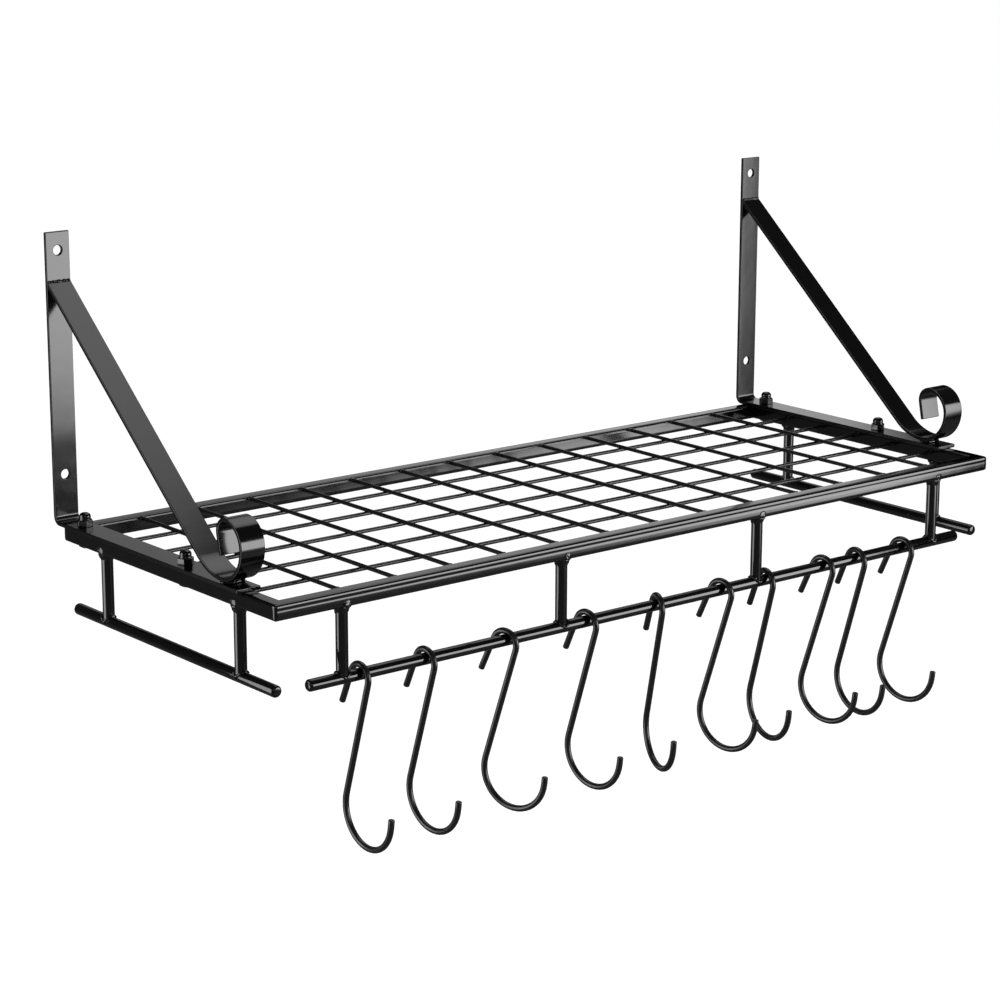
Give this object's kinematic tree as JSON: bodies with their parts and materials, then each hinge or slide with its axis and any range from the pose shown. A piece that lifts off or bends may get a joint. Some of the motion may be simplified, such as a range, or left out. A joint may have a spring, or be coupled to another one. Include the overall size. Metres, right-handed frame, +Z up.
{
  "type": "wall pot rack",
  "caption": "Wall-mounted pot rack: wire shelf in a square-tube frame on two scrolled flat-bar brackets, with hanging rods below and loose S-hooks on the front rod.",
  "frame": {"origin": "on the wall plane, in the middle of the four wall holes", "axes": "+X along the wall to the right as seen from the front, +Y into the wall, +Z up"},
  "size_m": [0.728, 0.3197, 0.4168],
  "materials": {
    "enamel": "gloss black enamel",
    "hook_wire": "satin black enamel",
    "fastener": "black oxide, semi-gloss"
  },
  "bodies": {
    "root": {"rail_front": "enamel", "rail_rear": "enamel", "rail_left": "enamel", "rail_right": "enamel", "cross_wire_01": "enamel", "cross_wire_02": "enamel", "cross_wire_03": "enamel", "cross_wire_04": "enamel", "cross_wire_05": "enamel", "cross_wire_06": "enamel", "cross_wire_07": "enamel", "cross_wire_08": "enamel", "cross_wire_09": "enamel", "cross_wire_10": "enamel", "cross_wire_11": "enamel", "cross_wire_12": "enamel", "cross_wire_13": "enamel", "long_wire_1": "enamel", "long_wire_2": "enamel", "long_wire_3": "enamel", "long_wire_4": "enamel", "long_wire_5": "enamel", "rod_front": "enamel", "rod_left": "enamel", "rod_right": "enamel", "post_front_1": "enamel", "post_front_2": "enamel", "post_front_3": "enamel", "post_front_4": "enamel", "post_left_rear": "enamel", "post_left_front": "enamel", "post_right_rear": "enamel", "post_right_front": "enamel", "strap_left": "enamel", "strap_right": "enamel", "brace_left": "enamel", "brace_right": "enamel", "cap_nut_left_rear": "fastener", "cap_nut_left_front": "fastener", "cap_nut_right_rear": "fastener", "cap_nut_right_front": "fastener", "screw_left_rear": "fastener", "screw_left_front": "fastener", "screw_right_rear": "fastener", "screw_right_front": "fastener"},
    "hook_01": {"hook_01": "hook_wire"},
    "hook_02": {"hook_02": "hook_wire"},
    "hook_03": {"hook_03": "hook_wire"},
    "hook_04": {"hook_04": "hook_wire"},
    "hook_05": {"hook_05": "hook_wire"},
    "hook_06": {"hook_06": "hook_wire"},
    "hook_07": {"hook_07": "hook_wire"},
    "hook_08": {"hook_08": "hook_wire"},
    "hook_09": {"hook_09": "hook_wire"},
    "hook_10": {"hook_10": "hook_wire"}
  },
  "joints": [
    {"name": "hook_01_swing", "type": "hinge", "parent": "root", "child": "hook_01", "pos_m": [-0.28512, -0.281, -0.1905], "axis": [1, 0, 0], "range_deg": [-60, 60]},
    {"name": "hook_02_swing", "type": "hinge", "parent": "root", "child": "hook_02", "pos_m": [-0.22704, -0.281, -0.1905], "axis": [0.9986, 0.0523, 0], "range_deg": [-60, 60]},
    {"name": "hook_03_swing", "type": "hinge", "parent": "root", "child": "hook_03", "pos_m": [-0.15378, -0.281, -0.1905], "axis": [0.9613, 0.2756, 0], "range_deg": [-60, 60]},
    {"name": "hook_04_swing", "type": "hinge", "parent": "root", "child": "hook_04", "pos_m": [-0.07524, -0.281, -0.1905], "axis": [0.9945, 0.1045, 0], "range_deg": [-60, 60]},
    {"name": "hook_05_swing", "type": "hinge", "parent": "root", "child": "hook_05", "pos_m": [-0.00396, -0.281, -0.1905], "axis": [0.9455, -0.3256, 0], "range_deg": [-60, 60]},
    {"name": "hook_06_swing", "type": "hinge", "parent": "root", "child": "hook_06", "pos_m": [0.0627, -0.281, -0.1905], "axis": [0.9848, 0.1736, 0], "range_deg": [-60, 60]},
    {"name": "hook_07_swing", "type": "hinge", "parent": "root", "child": "hook_07", "pos_m": [0.11088, -0.281, -0.1905], "axis": [0.9877, -0.1564, 0], "range_deg": [-60, 60]},
    {"name": "hook_08_swing", "type": "hinge", "parent": "root", "child": "hook_08", "pos_m": [0.17424, -0.281, -0.1905], "axis": [0.9903, 0.1392, 0], "range_deg": [-60, 60]},
    {"name": "hook_09_swing", "type": "hinge", "parent": "root", "child": "hook_09", "pos_m": [0.21252, -0.281, -0.1905], "axis": [0.9986, -0.0523, 0], "range_deg": [-60, 60]},
    {"name": "hook_10_swing", "type": "hinge", "parent": "root", "child": "hook_10", "pos_m": [0.26598, -0.281, -0.1905], "axis": [0.9945, 0.1045, 0], "range_deg": [-60, 60]}
  ]
}
